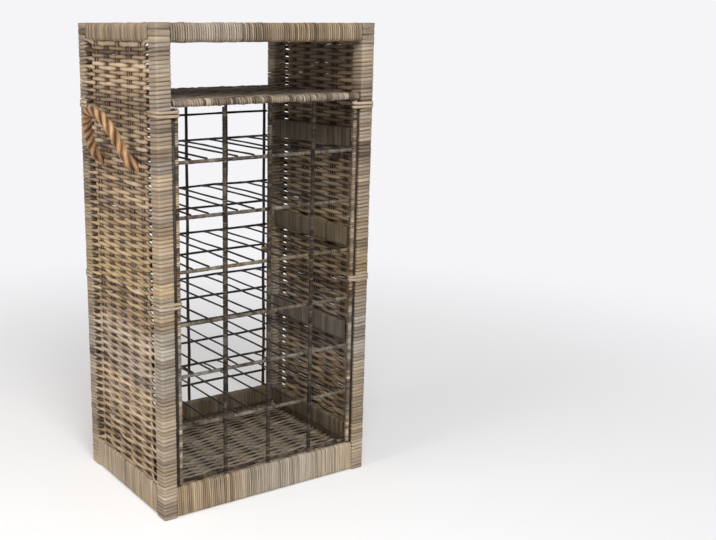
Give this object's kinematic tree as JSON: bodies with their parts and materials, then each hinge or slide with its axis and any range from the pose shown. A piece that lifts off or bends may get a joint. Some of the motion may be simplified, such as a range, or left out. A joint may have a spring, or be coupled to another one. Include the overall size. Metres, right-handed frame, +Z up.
{
  "type": "rattan wine rack",
  "caption": "Tall woven rattan wine rack: wrapped posts and rails, woven sides, shelf and floor, a rod grid that holds bottles lying down, and hinged rope handles.",
  "frame": {"origin": "on the ground, under the middle of the case", "axes": "+Z up, -Y towards the open front where bottles go in, +X to the right of a person facing the front"},
  "size_m": [0.639, 0.365, 1],
  "materials": {
    "rattan_wrap": "matte greyed rattan core, wound in flat turns",
    "rattan_pole": "matte peeled rattan pole",
    "rattan_weave": "matte greyed rattan, plain weave over paired stakes",
    "wrapped_rod": "iron rod bound in fine greyed rattan, matte",
    "dark_iron": "black-brown lacquered iron rod, satin",
    "rattan_tie": "matte rattan binding",
    "manila_rope": "three-strand laid manila rope, fibrous"
  },
  "bodies": {
    "case": {"post_wrap_front_left": "rattan_wrap", "post_pole_front_left": "rattan_pole", "post_wrap_front_right": "rattan_wrap", "post_pole_front_right": "rattan_pole", "post_wrap_back_left": "rattan_wrap", "post_pole_back_left": "rattan_pole", "post_wrap_back_right": "rattan_wrap", "post_pole_back_right": "rattan_pole", "top_rail_front": "rattan_wrap", "base_rail_front": "rattan_wrap", "top_rail_back": "rattan_wrap", "base_rail_back": "rattan_wrap", "top_rail_left": "rattan_wrap", "base_rail_left": "rattan_wrap", "top_rail_right": "rattan_wrap", "base_rail_right": "rattan_wrap", "top_panel": "rattan_weave", "floor_panel": "rattan_weave", "side_panel_left": "rattan_weave", "side_panel_right": "rattan_weave", "shelf_panel": "rattan_weave", "cross_rail_left_1": "rattan_wrap", "cross_rail_left_2": "rattan_wrap", "cross_rail_left_3": "rattan_wrap", "cross_rail_left_4": "rattan_wrap", "cross_rail_right_1": "rattan_wrap", "cross_rail_right_2": "rattan_wrap", "cross_rail_right_3": "rattan_wrap", "cross_rail_right_4": "rattan_wrap", "cross_rail_back": "rattan_wrap", "shelf_rail_front": "rattan_wrap", "shelf_rail_back": "rattan_wrap", "rack_level_1": "dark_iron", "rack_level_2": "dark_iron", "rack_level_3": "dark_iron", "rack_level_4": "dark_iron", "rack_level_5": "dark_iron", "rack_level_6": "dark_iron", "front_sill_rod": "wrapped_rod", "front_upright_1": "wrapped_rod", "front_upright_2": "wrapped_rod", "front_upright_3": "wrapped_rod", "front_upright_4": "wrapped_rod", "front_upright_5": "wrapped_rod", "back_grille": "dark_iron", "rod_tie_front_left_upper": "rattan_tie", "rod_tie_front_left_lower": "rattan_tie", "rod_tie_front_right_upper": "rattan_tie", "rod_tie_front_right_lower": "rattan_tie", "rod_tie_back_left_upper": "rattan_tie", "rod_tie_back_left_lower": "rattan_tie", "rod_tie_back_right_upper": "rattan_tie", "rod_tie_back_right_lower": "rattan_tie", "rope_knot_left_front": "manila_rope", "rope_knot_left_back": "manila_rope", "rope_knot_right_front": "manila_rope", "rope_knot_right_back": "manila_rope"},
    "handle_left": {"rope_handle_left": "manila_rope"},
    "handle_right": {"rope_handle_right": "manila_rope"}
  },
  "joints": [
    {"name": "handle_left_swing", "type": "hinge", "parent": "case", "child": "handle_left", "pos_m": [-0.2665, 0, 0.718], "axis": [0, -1, 0], "range_deg": [-21, 64], "stiffness_Nm_per_rad": 1.5},
    {"name": "handle_right_swing", "type": "hinge", "parent": "case", "child": "handle_right", "pos_m": [0.2665, 0, 0.718], "axis": [0, 1, 0], "range_deg": [-21, 64], "stiffness_Nm_per_rad": 1.5}
  ]
}
